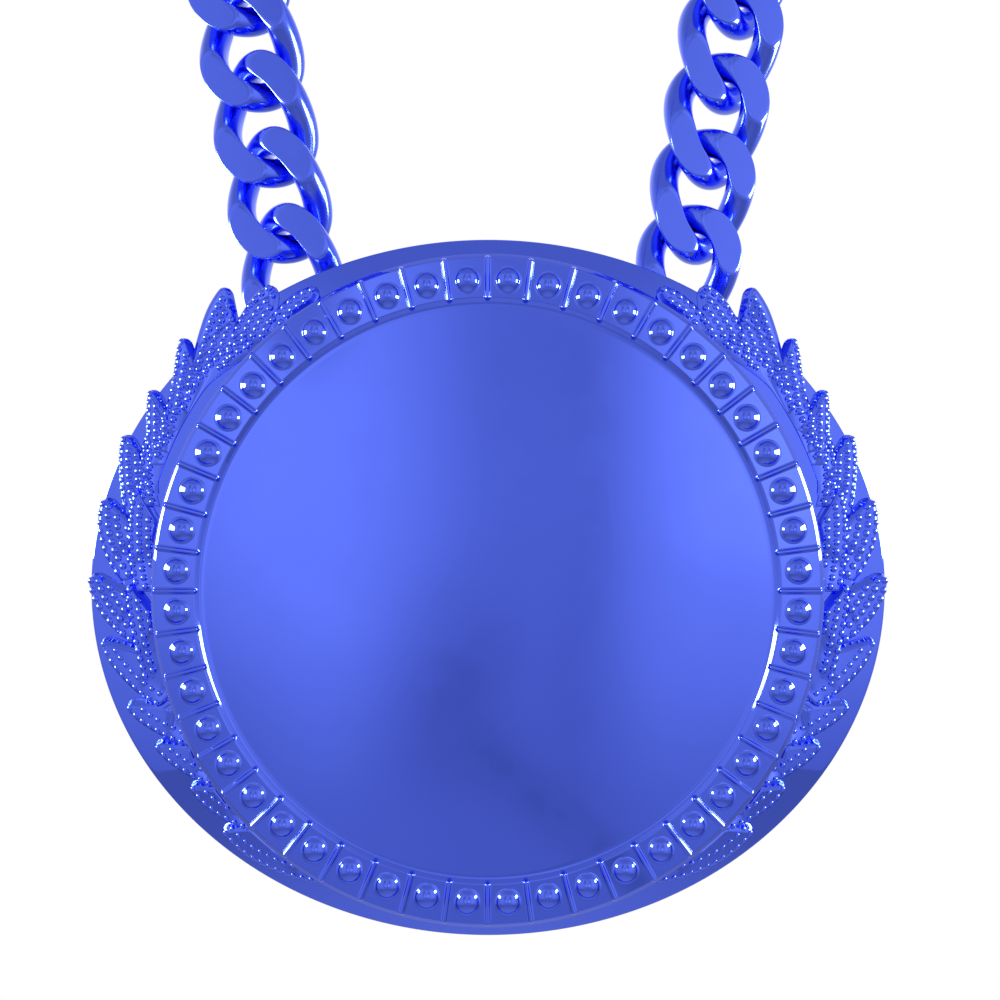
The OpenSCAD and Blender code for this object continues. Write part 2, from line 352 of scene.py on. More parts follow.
MEDAL = metal("medal_metal", rough=0.03, spread=0.03, dent=1.5e-6, hair=1e-7)
FIELD = metal("field_metal", rough=0.07, spread=0.05, dent=1e-6, hair=3e-7)
CHAIN = metal("chain_metal", rough=0.13, spread=0.08, dent=3e-6, hair=8e-7)


# The chain's path

# Sides of an eye's ring and of its wire
EYE_SIDES, WIRE_SIDES = 64, 24


def chain_at(side, s):
    """Place, heading and roll of the chain at a distance from its lug."""
    turned = max(0, s - STRAND) / ARC_R
    up = min(s, STRAND)
    lean = LEAN - turned
    if s > STRAND:
        x, z = ARC_R * math.cos(lean), ARC_Z - ARC_R * math.sin(lean)
    else:
        x = LUG_X + up * math.sin(LEAN)
        z = MEDAL_Z + LUG_Z + up * math.cos(LEAN)
    return side * x, z, math.pi / 2 - side * lean, side * ROLL * (1 - turned / ARC_TURN)


def on_chain(side, s):
    """A move from the chain's frame there, X along it and Z to the front."""
    x, z, heading, roll = chain_at(side, s)

    def move(p):
        y = p[..., 1] * math.cos(roll) - p[..., 2] * math.sin(roll)
        out = p[..., 1] * math.sin(roll) + p[..., 2] * math.cos(roll)
        return np.stack(
            [
                x + p[..., 0] * math.cos(heading) - y * math.sin(heading),
                -out,
                z + p[..., 0] * math.sin(heading) + y * math.cos(heading),
            ],
            -1,
        )

    return move


def eye(end):
    """An eye round the end wire of a link, in the chain's frame."""
    a = TAU * np.arange(EYE_SIDES)[:, None] / EYE_SIDES
    b = TAU * np.arange(WIRE_SIDES)[None] / WIRE_SIDES
    r = EYE_R + EYE_WIRE_R * np.cos(b)
    p = np.stack([r * np.cos(a), r * np.sin(a), EYE_WIRE_R * np.sin(b) + 0 * a], -1)
    c, s = math.cos(end * EYE_SLANT), math.sin(end * EYE_SLANT)
    turned = np.stack(
        [p[..., 0], p[..., 1] * c - p[..., 2] * s, p[..., 1] * s + p[..., 2] * c], -1
    )
    return skin(turned, closed=True)


# Back plate

# Sides of the plate and the bezel, and of the field
RING_SIDES, FIELD_SIDES = 480, 360
# The rim's round, the play round the bezel's seat and the drop at its edge, and the boss's
# step in from the bezel
RIM_ROUND, SEAT_PLAY, SEAT_DROP, BOSS_INSET = 0.18, 0.02, 0.02, 1
# Radius of the small circle that closes a flat face, and of a circle halfway out
CLOSING_R, HALFWAY_R = 0.5, 12
# Circles on the margin, as shares of the way from the seat to the rim
MARGIN_CIRCLES = (0.002, 0.02, 0.1, 0.3, 0.5, 0.7, 0.85, 0.93)
# The round of the back's chamfer, and how far in from the rim the back follows its oval
CHAMFER_ROUND, BACK_BAND = 0.12, 3
# Radius and height of the circles at a post's rounded end, which lies in the eye's wire
POST_END = ((0.3, 0), (EYE_WIRE_R - 0.1, 0.02), (EYE_WIRE_R, 0.12))


def plate_r(a):
    """Radius of the plate's oval in a direction."""
    return 1 / np.hypot(np.cos(a) / (PLATE_W / 2), np.sin(a) / (PLATE_H / 2))


def margin_z(x, y):
    """Height of the plate's sloping margin over its back."""
    rim = plate_r(np.arctan2(y, x))
    way_in = (rim - np.hypot(x, y)) / (rim - BEZEL_R)
    return RIM_T + MARGIN_RISE * np.clip(way_in, 0, 1)


def plate_body():
    """The plate as rings from the boss out over the margin and in again over the back."""
    a = TAU * np.arange(RING_SIDES) / RING_SIDES
    rings = []

    def ring(r, z):
        rings.append(np.stack([r * np.cos(a), r * np.sin(a), z + 0 * a], -1))

    def circles(corners, steps=4):
        for r, z in rounded(corners, steps):
            ring(r, z)

    boss_r = BEZEL_IN_R - BOSS_INSET
    seat_r = BEZEL_R + SEAT_PLAY
    circles(
        [
            (CLOSING_R, BOSS_TOP, 0),
            (HALFWAY_R, BOSS_TOP, 0),
            (boss_r, BOSS_TOP, 0.15),
            (boss_r, SEAT_Z, 0.1),
            (seat_r, SEAT_Z, 0.1),
            (seat_r, SEAT_Z + 0.6, 0),
        ]
    )
    rim = plate_r(a)
    tilt = np.arctan2(MARGIN_RISE, rim - BEZEL_R)
    ring(seat_r, RIM_T + MARGIN_RISE - SEAT_DROP)
    for f in MARGIN_CIRCLES:
        r = seat_r + (rim - seat_r) * f
        ring(r, RIM_T + (rim - r) * np.tan(tilt))
    # The margin turns into the rim's wall in one round curve
    for f in np.linspace(0, 1, 7):
        back = RIM_ROUND * (1 - f) ** 2
        r = rim - back * np.cos(tilt)
        ring(r, RIM_T + back * np.sin(tilt) - RIM_ROUND * f * f)
    for inset, z in rounded(
        [
            (0, RIM_T - RIM_ROUND - 0.05, 0),
            (0, BACK_CHAMFER, CHAMFER_ROUND),
            (BACK_CHAMFER, 0, CHAMFER_ROUND),
            (BACK_BAND, 0, 0),
        ]
    ):
        ring(rim - inset, z)
    circles(
        [
            (PANEL_R + 1, 0, 0),
            (PANEL_R, 0, 0.15),
            (PANEL_R, PANEL_DEPTH, 0.3),
            (PANEL_R - 2, PANEL_DEPTH, 0),
            (CLOSING_R, PANEL_DEPTH, 0),
        ]
    )
    return skin(hung(rings))


def post(side):
    """The short post that joins an eye to the plate."""
    a = TAU * np.arange(WIRE_SIDES) / WIRE_SIDES
    y = -EYE_R * math.cos(EYE_SLANT)
    z = EYE_R * math.sin(EYE_SLANT)
    rings = []
    for r, h in (*POST_END, (EYE_WIRE_R, POST_H)):
        rings.append(np.stack([r * np.cos(a), y + r * np.sin(a), z + h + 0 * a], -1))
    return placed(skin(rings), on_chain(side, 0))


shapes = [plate_body()]
for side in (-1, 1):
    shapes += [placed(eye(-1), on_chain(side, 0)), post(side)]
mesh_object("plate", shapes, MEDAL, "medal_metal", "back_plate", even=True)


# Bezel and field

# The bezel's outer wall, the foot of its outer bevel, the slope round the field, and the
# field's flat inside it with the circles on it
WALL_R, BEVEL_FOOT = 30.45, 6.75
STEP_R, STEP_SLOPE = 26.43, math.tan(math.radians(44.5))
FLAT_R, FLAT_CIRCLES = 26.0, (CLOSING_R, 10, 20, 25.5)
FLAT_Z = BEZEL_TOP - (STEP_R - FLAT_R) * STEP_SLOPE
FIELD_EDGE_R = BEZEL_IN_R - 0.01
# Studs and bars: radius of the cap and of the fillet at the foot, the lean between them in
# degrees, and the sides and steps of the mesh
STUD_CAP_R, STUD_FILLET, STUD_LEAN, STUD_SIDES, STUD_STEPS = 1.3, 0.4, 50, 56, 22
BAR_CAP_R, BAR_FILLET, BAR_LEAN, BAR_SIDES, BAR_STEPS = 0.2, 0.207, 58, 24, 12
# Where a bar ends, inside and outside, and how far its foot reaches from its middle line:
# half of that lies past each end
BAR_IN_R, BAR_OUT_R, BAR_REACH = 26.3, 30.14, 0.345
# How far a mound stands in the face, the most that its foot follows the bevels down, and
# how far its wall goes on below
MOUND_SINK, MOUND_DROP, MOUND_FOOT = 0.001, 0.6, 0.1


def mound(cap_r, fillet, edge, half_l, sides, steps):
    """A domed stud, or a bar with round ends along y, that stands on z = 0: a round cap
    down to where it leans by edge degrees, and a fillet at its foot."""
    lean = math.radians(edge)
    sunk = (cap_r + fillet) * math.cos(lean) - fillet
    reach = (cap_r + fillet) * math.sin(lean)
    profile = [
        (cap_r * math.sin(q), cap_r * math.cos(q) - sunk)
        for q in np.linspace(0.04, 1, steps) * lean
    ]
    profile += [
        (reach - fillet * math.sin(q), fillet * (1 - math.cos(q)))
        for q in np.linspace(1, 0, steps // 2)[1:] * lean
    ]
    profile.append((reach - 0.01, -MOUND_FOOT))
    profile = np.array(profile)
    a = TAU * np.arange(sides) / sides
    shift = 0 * a
    if half_l:
        # Two round ends, and points near them on the straight sides between
        turn = np.linspace(0, math.pi, sides // 2)
        sides_at = np.array([0.94, -0.94])
        a = np.concatenate([turn, [math.pi] * 2, turn + math.pi, [TAU] * 2])
        one, two = np.full(len(turn), half_l), sides_at * half_l
        shift = np.concatenate([one, two, -one, -two])
    r, z = profile[:, :1], profile[:, 1:]
    return np.stack([r * np.cos(a), r * np.sin(a) + shift, z + 0 * a], -1)


def slope_z(r):
    """Height of the slope round the field at a distance from its centre."""
    return BEZEL_TOP - (STEP_R - r) * STEP_SLOPE


def bevel_fall(r):
    """How far the bezel lies below its flat face at a distance from its centre."""
    outside = (r - FACE_OUT_R) * (BEZEL_TOP - BEVEL_FOOT) / (WALL_R - FACE_OUT_R)
    inside = (STEP_R - r) * STEP_SLOPE
    return np.clip(np.maximum(outside, inside), 0, MOUND_DROP)


def round_the_bezel(rings, angle, r):
    """Moves a mound's rings out along the bezel, where its foot follows the bevels."""
    p = rings + np.array([0, r, 0])
    top = rings[..., 2].max()
    low = 1 - np.clip(rings[..., 2] / top, 0, 1)
    fall = bevel_fall(np.hypot(p[..., 0], p[..., 1]))
    p[..., 2] += BEZEL_TOP - MOUND_SINK - low * fall
    c, s = math.cos(angle), math.sin(angle)
    return np.stack(
        [p[..., 0] * c - p[..., 1] * s, p[..., 0] * s + p[..., 1] * c, p[..., 2]], -1
    )


ring_profile = rounded(
    [
        (BEZEL_IN_R, SEAT_Z + 0.1, 0.05),
        (WALL_R, SEAT_Z + 0.1, 0.05),
        (WALL_R, BEVEL_FOOT, 0.06),
        (FACE_OUT_R, BEZEL_TOP, 0.12),
        (STEP_R, BEZEL_TOP, 0.2),
        (BEZEL_IN_R + 0.02, slope_z(BEZEL_IN_R + 0.02), 0),
        (BEZEL_IN_R, slope_z(BEZEL_IN_R), 0),
    ],
    closed=True,
)
shapes = [placed(revolved(ring_profile, RING_SIDES, closed=True), hung)]
studs = []
stud = mound(STUD_CAP_R, STUD_FILLET, STUD_LEAN, 0, STUD_SIDES, STUD_STEPS)
bar_half = (BAR_OUT_R - BAR_IN_R) / 2 - BAR_REACH * 0.5
bar_r = (BAR_OUT_R + BAR_IN_R) / 2
bar = mound(BAR_CAP_R, BAR_FILLET, BAR_LEAN, bar_half, BAR_SIDES, BAR_STEPS)
for i in range(CELLS):
    studs.append(skin(hung(round_the_bezel(stud, TAU * (i + 0.5) / CELLS, STUD_RING_R))))
    shapes.append(skin(hung(round_the_bezel(bar, TAU * i / CELLS, bar_r))))
mesh_object("bezel", shapes, MEDAL, "medal_metal", "bezel_ring", even=True)
mesh_object("studs", studs, MEDAL, "medal_metal", "bezel_ring")

field_profile = rounded(
    [
        *((r, FLAT_Z, 0) for r in FLAT_CIRCLES),
        (FLAT_R, FLAT_Z, 0.35),
        (FIELD_EDGE_R - 0.02, slope_z(FIELD_EDGE_R - 0.02), 0),
        (FIELD_EDGE_R, slope_z(FIELD_EDGE_R), 0),
        (FIELD_EDGE_R, FLAT_Z - 0.1, 0),
        (BEZEL_IN_R - 0.1, FLAT_Z - 0.2, 0),
        (BEZEL_IN_R - 0.1, FIELD_TOP - FIELD_T, 0.1),
        (CLOSING_R, FIELD_TOP - FIELD_T, 0),
    ]
)
field = placed(revolved(field_profile, FIELD_SIDES), hung)
mesh_object("field", [field], FIELD, "medal_metal", "field_disc", even=True)


# Laurels

# Where the leaves end before the bezel, and the bare band before it: its width, and the
# heights over which it comes and goes
LEAF_IN_R = BEZEL_R + 0.15
BAND_W, BAND_FOOT, BAND_HEAD = 1.5, (6, 10), (24.5, 19)
# Half width of a leaf along its length, as a share of the widest
WIDTH_AT = [0, 0.25, 0.55, 0.8, 0.93, 1]
WIDTH_SHARE = [0.5, 0.85, 1, 0.88, 0.62, 0.42]
# The round of a leaf's tip, seen from the front and from the side, and of its outer edge
TIP_R, NOSE_R, EDGE_R = 0.4, 0.42, 0.36
# How far a leaf reaches in: at its tip, more for each mm from it up to so many mm, the
# least, and the limit where the bezel isn't in the way
TIP_REACH, REACH_RATE, REACH_RUN = 0.42, 0.56, 4.6
LEAST_REACH, FREE_REACH = 0.12, 9.0
# Width of the wall on the bezel's side of leaves with a tip higher than WALL_TIP_H, and
# the lift of a leaf's face and of its underside over the margin
WALL_W, WALL_TIP_H, LEAF_LIFT, UNDER_LIFT = 0.82, 0.6, 0.06, 0.03
# Height at the tip of the lowest outer leaves, of the other outer ones and of each inner one
LOW_LEAVES, LOW_TIP_H, TIP_H = 5, 0.72, 0.85
INNER_TIP_H = [0.85, 0.75, 0.6, 0.5, 0.5]
# Rows of grains on the lowest outer leaves and on the others, and the gap from the edge to
# the first row
LOW_ROWS, ROWS, INNER_EDGE_GAP = 2, 4, 0.3
EDGE_GAPS = [0.36] * 6 + [0.2] * 4 + [0.9, 0.4, 0.4]
# Spacing of grains on leaves with a root below SPACING_Y and on the others, how much wider
# the rows lie, and how far grains keep from the tip, the root and the bezel's side
WIDE_SPACING, SPACING, SPACING_Y, ROW_EXTRA = 0.82, 0.76, 2, 0.08
TIP_CLEAR, ROOT_CLEAR, WALL_CLEAR = 0.42, 0.3, 0.5
# A grain is the cap of a ball, up to GRAIN_EDGE radians, with a foot in the leaf
LOW_GRAIN_R, GRAIN_R, GRAIN_EDGE, GRAIN_FOOT = 0.31, 0.4, 0.98, 0.12
GRAIN_RINGS, GRAIN_SIDES = (0.12, 0.35, 0.55, 0.78, GRAIN_EDGE, GRAIN_EDGE + 0.02), 12
# The stem's half width, height and lift, and how far it sinks in over which heights
STEM_HALF_W, STEM_H, STEM_LIFT, STEM_SINK, STEM_END = 0.5, 0.1, 0.02, 0.3, (6, 9)


def clear_of_bezel(x, y):
    """The point, or the nearest one outside the bezel."""
    grow = np.maximum(1, LEAF_IN_R / np.hypot(x, y))
    return x * grow, y * grow


def bare_r(y):
    """Where the leaves end before the bezel: at its wall, and beside its upper half
    before a bare band of margin."""
    return LEAF_IN_R + BAND_W * smoothstep(y, *BAND_FOOT) * smoothstep(y, *BAND_HEAD)


class Leaf:
    """One leaf of the left spray: t runs from root to tip, and v, in mm, from its raised
    outer edge towards the bezel, where it sinks into the margin."""

    def __init__(self, row, rows, edge_gap, tip_h):
        self.root = np.array(row[2:4])
        self.run = np.array(row[:2]) - self.root
        self.length = np.linalg.norm(self.run)
        self.left = np.array([-self.run[1], self.run[0]]) / self.length
        self.bow, self.width = row[4], row[5]
        self.rows, self.edge_gap, self.tip_h = rows, edge_gap, tip_h
        self.spacing = WIDE_SPACING if self.root[1] < SPACING_Y else SPACING

    def outer(self, t):
        """The outer edge, which ends in a blunt tip."""
        rib = self.root + self.run * t[..., None]
        rib = rib + self.left * (self.bow * 4 * t * (1 - t))[..., None]
        w = curve_through(t, WIDTH_AT, WIDTH_SHARE)
        corner = np.sqrt(1 - np.clip(1 - (1 - t) * self.length / TIP_R, 0, 1) ** 2)
        half = self.width / 2 * w * (0.35 + 0.65 * corner)
        return rib + self.left * half[..., None]

    def across(self, t):
        """How far the leaf reaches in from its outer edge."""
        back = (1 - t) * self.length
        corner = np.sqrt(1 - np.clip(1 - back / TIP_R, 0, 1) ** 2)
        p = self.outer(t)
        bulge = (p - self.root) @ self.left
        reach = bulge + TIP_REACH + REACH_RATE * np.minimum(back, REACH_RUN)
        reach = reach * (0.4 + 0.6 * corner) * (0.55 + 0.45 * smoothstep(t, 0, 0.3))
        # The way in, at right angles to the leaf, to where leaves end before the bezel
        b = -(p @ self.left)
        c = (p * p).sum(-1) - bare_r(p[..., 1]) ** 2
        open_way = b * b - c
        way_in = -b - np.sqrt(np.maximum(open_way, 0))
        limit = np.where(open_way > 0, way_in, FREE_REACH)
        return np.clip(np.minimum(reach, limit), LEAST_REACH, None)

    def fall(self, t, reach):
        """Width of the fall on the bezel's side: on high leaves a wall near the tip, and
        gentle elsewhere."""
        walled = self.tip_h > WALL_TIP_H
        gentle = 1 - walled * smoothstep(t, 0.25, 0.55)
        return np.minimum(WALL_W + (0.9 * reach - WALL_W) * gentle, 0.95 * reach)

    def top(self, t, v):
        """Points on the leaf's upper face."""
        reach = self.across(t)
        v = np.minimum(v, reach)
        p = self.outer(t) - self.left * v[..., None]
        high = LEAF_ROOT_H + (self.tip_h - LEAF_ROOT_H) * t
        nose = np.clip(1 - (1 - t) * self.length / NOSE_R, 0, 1)
        high = high * (0.4 + 0.6 * np.sqrt(1 - nose**2))
        edge = np.clip(1 - v / EDGE_R, 0, 1)
        inner = np.clip((reach - v) / self.fall(t, reach), 0, 1)
        inner = 0.7 * inner + 0.3 * smoothstep(inner, 0, 1)
        share = inner * (1 - 0.25 * smoothstep(v, 0.3, 2.8))
        lift = high * share - np.minimum(EDGE_R, 0.6 * high) * edge**1.5
        x, y = p[..., 0], p[..., 1]
        return np.stack([x, y, margin_z(x, y) + LEAF_LIFT + np.maximum(lift, 0)], -1)

    def blade(self):
        """Rings over the leaf, from tip to root, close together at its tip and edge."""
        tip_zone, tip_steps, steps = 0.3, 8, 33
        near_tip = tip_zone * np.linspace(0, 1, tip_steps + 1)[1:] ** 2
        back = np.linspace(tip_zone, self.length, steps + 1)[1:]
        back = np.concatenate([near_tip, back])
        t = (1 - back / self.length)[:, None]
        reach = self.across(t)
        edge_zone, edge_steps, steps = 0.4, 9, 35
        rest = np.minimum(edge_zone, 0.5 * reach)
        near_edge = rest * np.linspace(0, 1, edge_steps + 1)[None]
        share = np.linspace(0, 1, steps + 1)[None, 1:]
        v = np.concatenate([near_edge, rest + (reach - rest) * share], 1)
        top = self.top(t + 0 * v, v)
        low = []
        for edge in (top[:, -1:], top[:, :1]):
            x, y = edge[..., 0], edge[..., 1]
            low.append(np.stack([x, y, margin_z(x, y) + UNDER_LIFT], -1))
        return np.concatenate([top] + low, 1)

    def grains(self):
        """Places of the grains, in staggered rows from the outer edge."""
        found = []
        row_gap = self.spacing + ROW_EXTRA
        for row in range(self.rows):
            s = TIP_CLEAR + (row % 2) * self.spacing / 2
            while s < self.length - ROOT_CLEAR:
                t = np.array(1 - s / self.length)
                v = self.edge_gap + row * row_gap
                reach = self.across(t)
                if v < reach - min(WALL_CLEAR, float(self.fall(t, reach)) * 0.6):
                    found.append((float(t), v))
                s += self.spacing
        return found


def grain(centre, normal, first_angle, size):
    """A small shallow dome set on a leaf."""
    a = TAU * np.arange(GRAIN_SIDES) / GRAIN_SIDES + first_angle
    east = np.cross([0.3, 0.9, 0.1], normal)
    east /= np.linalg.norm(east)
    north = np.cross(normal, east)
    rings = []
    for q in GRAIN_RINGS:
        r = size * math.sin(q)
        up = size * (math.cos(q) - math.cos(GRAIN_EDGE)) - GRAIN_FOOT * (q > GRAIN_EDGE)
        around = np.cos(a)[:, None] * east + np.sin(a)[:, None] * north
        rings.append(centre + normal * up + r * around)
    return skin(rings)


def point_and_normal(leaf, t, v):
    """A point on the leaf's upper face and the way out of it there, from two short steps
    over the face."""
    d = 0.01
    at, along, over = leaf.top(np.array([t, t + d, t]), np.array([v, v, v + d]))
    normal = np.cross(along - at, over - at)
    normal /= np.linalg.norm(normal)
    return at, -normal if normal[2] < 0 else normal


def spray():
    """All leaves of the left spray with their grains."""
    shapes = []
    leaves = []
    for i, row in enumerate(OUTER_LEAVES):
        low = i < LOW_LEAVES
        leaves.append(
            Leaf(row, LOW_ROWS if low else ROWS, EDGE_GAPS[i], LOW_TIP_H if low else TIP_H)
        )
    for row, tip_h in zip(INNER_LEAVES, INNER_TIP_H):
        leaves.append(Leaf(row, ROWS, INNER_EDGE_GAP, tip_h))
    for number, leaf in enumerate(leaves):
        size = LOW_GRAIN_R if number < LOW_LEAVES else GRAIN_R
        shapes.append(skin(leaf.blade()))
        for t, v in leaf.grains():
            at, normal = point_and_normal(leaf, t, v)
            shapes.append(grain(at, normal, number + 3 * t, size))
    return shapes


def stem():
    """The low stem that the leaves spring from."""
    roots = np.array([row[2:4] for row in OUTER_LEAVES])
    q = np.linspace(0, len(roots) - 1, 60)
    x = curve_through(q, np.arange(len(roots)), roots[:, 0])
    y = curve_through(q, np.arange(len(roots)), roots[:, 1])
    r = np.hypot(x, y)
    sink = STEM_SINK * smoothstep(y, *STEM_END) - STEM_LIFT
    rings = []
    for u in np.linspace(-1, 1, 9):
        grow = 1 + u * STEM_HALF_W / r
        px, py = clear_of_bezel(x * grow, y * grow)
        rise = STEM_H * math.sqrt(1 - u * u)
        rings.append(np.stack([px, py, margin_z(px, py) - sink + rise], -1))
    return skin(np.stack(rings, 1))


left = spray() + [stem()]
for name, side in (("laurel_left", 1), ("laurel_right", -1)):
    moved = []
    for p, q, t in left:
        p = hung(p * np.array([side, 1, 1]))
        moved.append((p, q, t) if side > 0 else (p, q[:, ::-1], t[:, ::-1]))
    mesh_object(name + "_spray", moved, MEDAL, "medal_metal", name)


# Chain and clasp

# The links next to the medal are finer: how many they are, and the sections and sides of
# their mesh and of the others'
NEAR_LINKS, NEAR_MESH, FAR_MESH = 8, (144, 44), (64, 18)
# The round of the cut faces' edges, and of the clasp's corners and rims
CUT_ROUND, CLASP_ROUND, CLASP_EDGE = 0.15, 1.6, 0.5


def link(sections, sides):
    """A curb link in its own frame: a twisted oval of wire with its faces cut flat."""
    t = TAU * np.arange(sections)[:, None] / sections
    u = TAU * (np.arange(sides)[None] + 0.5) / sides
    middle = np.stack([LINK_A * np.cos(t), LINK_B * np.sin(t), -LINK_C * np.sin(2 * t)], -1)
    way = np.stack(
        [-LINK_A * np.sin(t), LINK_B * np.cos(t), -2 * LINK_C * np.cos(2 * t)], -1
    )
    level = np.cross([0, 0, 1], way)
    level /= np.linalg.norm(level, axis=-1, keepdims=True)
    over = np.cross(way, level)
    over /= np.linalg.norm(over, axis=-1, keepdims=True)
    p = middle + WIRE_R * (level * np.cos(u)[..., None] + over * np.sin(u)[..., None])
    z, face = np.abs(p[..., 2]), CHAIN_T / 2
    blend = np.clip((z - face + CUT_ROUND) / (2 * CUT_ROUND), 0, 1)
    cut = np.where(blend < 1, z - CUT_ROUND * blend**2, face)
    cut = np.where(z < face - CUT_ROUND, z, np.minimum(cut, face))
    p[..., 2] = np.sign(p[..., 2]) * cut
    return skin(p, closed=True)


near_link, far_link = link(*NEAR_MESH), link(*FAR_MESH)
for name, side in (("chain_left", -1), ("chain_right", 1)):
    shapes = []
    for i in range(LINKS):
        move = on_chain(side, LINK_A + i * PITCH)
        shapes.append(placed(near_link if i < NEAR_LINKS else far_link, move))
    mesh_object(name + "_links", shapes, CHAIN, "chain_metal", name)


def box(half_x, half_y, half_z, round_r, edge):
    """A box about the origin. Its corners, seen along y, are rounded by round_r, and the
    rims of its two faces by edge."""
    steps = 6
    q = np.linspace(0, math.pi / 2, steps)
    outline = []
    for k, (sx, sz) in enumerate(((1, 1), (-1, 1), (-1, -1), (1, -1))):
        a = q + k * math.pi / 2
        outline.append(
            np.stack(
                [
                    sx * (half_x - round_r) + round_r * np.cos(a),
                    sz * (half_z - round_r) + round_r * np.sin(a),
                ],
                -1,
            )
        )
    outline = np.concatenate(outline)
    unit = outline / np.linalg.norm(outline, axis=1, keepdims=True)
    levels = [(-half_y + edge - edge * math.sin(b), edge * (1 - math.cos(b)))
              for b in np.linspace(math.pi / 2, 0, steps)]
    levels += [(-y, inset) for y, inset in levels[::-1]]
    rings = []
    for y, inset in levels:
        xz = outline - unit * inset
        rings.append(np.stack([xz[:, 0], np.full(len(xz), y), xz[:, 1]], -1))
    return skin(rings)


body_half = CLASP_HALF - EYE_R + EYE_WIRE_R / 2
clasp = placed(
    box(body_half, CLASP_T / 2, CLASP_W / 2, CLASP_ROUND, CLASP_EDGE),
    lambda p: p + np.array([0, 0, REST_GAP]),
)
ends = [placed(eye(1), on_chain(side, HALF_LENGTH - CLASP_HALF)) for side in (-1, 1)]
mesh_object("clasp_box", [clasp] + ends, CHAIN, "chain_metal", "clasp", even=True)


# Floor

# Radius, thickness and height in m, then the brightness, cloud scale and roughness
FLOOR_R, FLOOR_T, FLOOR_Z = 0.24, 0.006, -0.423
FLOOR_VALUE, FLOOR_CLOUDS, FLOOR_ROUGHNESS = 0.5, 18.0, 0.8


def pale(name, value):
    """A plain pale material with faint clouds."""
    mat = bpy.data.materials.new(name)
    mat.use_nodes = True
    n = Nodes(mat.node_tree)
    shader = mat.node_tree.nodes["Principled BSDF"]
    cloud = n.noise(n.add("ShaderNodeTexCoord", out="Object"), FLOOR_CLOUDS)
    dark = (value, value, value * 0.98, 1)
    light = (value * 1.04, value * 1.04, value * 1.02, 1)
    tint = n.mixed_colour(cloud, dark, light)
    mat.node_tree.links.new(tint, shader.inputs["Base Color"])
    shader.inputs["Roughness"].default_value = FLOOR_ROUGHNESS
    return mat


bpy.ops.mesh.primitive_cylinder_add(
    vertices=128, radius=FLOOR_R, depth=FLOOR_T, location=(0, 0, FLOOR_Z)
)
floor = bpy.context.object
floor.name = "floor"
floor.data.materials.append(pale("pale_floor", FLOOR_VALUE))


# Studio light

# Angles are in degrees, from straight ahead or from eye level. Levels by height: in
# front, at the sides, and behind
FRONT = [(-90, 0.65), (-75, 0.61), (-60, 0.52), (-45, 0.5), (-30, 0.55), (-17, 0.67),
         (0, 0.76), (20, 0.79), (35, 0.78), (45, 0.73), (60, 0.57), (75, 0.54), (90, 0.54)]
SIDES = [(-90, 0.65), (-75, 0.63), (-60, 0.59), (-45, 0.47), (-30, 0.47), (-15, 0.58),
         (0, 0.7), (20, 0.74), (32, 0.7), (45, 0.57), (60, 0.53), (90, 0.54)]
BEHIND = [(-90, 0.7), (-60, 0.8), (-40, 0.7), (-20, 0.7), (0, 0.95), (30, 1.0),
          (50, 0.75), (70, 0.6), (90, 0.54)]
# Where the front gives way to the sides, and these to what is behind
FRONT_TO_SIDES, SIDES_TO_BEHIND = (62, 86), (112, 150)
# What the right side in front has more than the left, and where
RIGHT_MORE, RIGHT_TURN, RIGHT_HEIGHT = 0.14, (14, 30, 55, 72), (-20, -6, 36, 50)
# Soft upright bands of shade beside the middle: where they stand, how they deepen with
# the height in two steps, and where they end
SHADE_ASIDE, SHADE_TOP = (10, 17, 30, 37), (50, 30)
SHADE_BELOW, SHADE_ABOVE = (-30, 0, 0.0, 0.13), (6, 20, 0.0, 0.2)
# What stands in the middle: a plain band, and a lit screen on each side, by the angle to
# the side and by the height
BAND = [(-20, 0.52), (-13.4, 0.52), (-10.6, 0.48), (-7.4, 0.51), (-4.1, 0.55),
        (-0.8, 0.6), (8.2, 0.58), (9.7, 0.6), (20, 0.6)]
RIGHT = [(2.5, 0), (4.1, 0.02), (4.9, 0.1), (6.6, 0.33), (8.2, 0.49), (9.8, 0.54),
         (12.2, 0.64), (14.1, 0.4), (20, 0.35)]
RIGHT_HIGH = [(-18, 0), (-13.4, 0.12), (-10.6, 0.3), (-7.4, 0.56), (-4.1, 0.7),
              (-2.5, 0.8), (-1.65, 1), (10.5, 1), (13.7, 0.6), (16.6, 0.3), (19, 0)]
LEFT = [(-20, 0.26), (-13.6, 0.28), (-12.2, 0.34), (-9.8, 0.46), (-8.2, 0.44),
        (-6.6, 0.42), (-4.9, 0.36), (-3.3, 0.24), (-1.65, 0.11), (0, 0.02)]
LEFT_HIGH = [(-20, 0), (-13.8, 0.1), (-10.6, 0.28), (-7.4, 0.52), (-4.1, 0.88),
             (-0.8, 1), (8.5, 1), (11, 0.65), (18, 0.45)]
# Added at the screens' feet, over LOW_BASE, and how far up and down it goes
LOW = [(-16, 0.1), (-11.5, 0.06), (-9.8, 0.09), (-8.2, 0.17), (-6.6, 0.19), (-4.9, 0.11),
       (-3.3, 0.04), (-1.65, 0.04), (0, 0.13), (1.65, 0.16), (3.3, 0.12), (4.9, 0.19),
       (6.6, 0.19), (8.2, 0.13), (9.8, 0.07), (12, 0.06), (16, 0.1)]
LOW_BASE, LOW_RISE = 0.1, (-13, -10, -5, -1)
# A dark spot, drawn out upwards: place, fade, depth, and how much the way up counts
SPOT_TURN, SPOT_RISE, SPOT_FADE, SPOT_DEPTH, SPOT_SHRINK = -8.3, 7.2, (2.8, 0.5), 0.4, 0.2
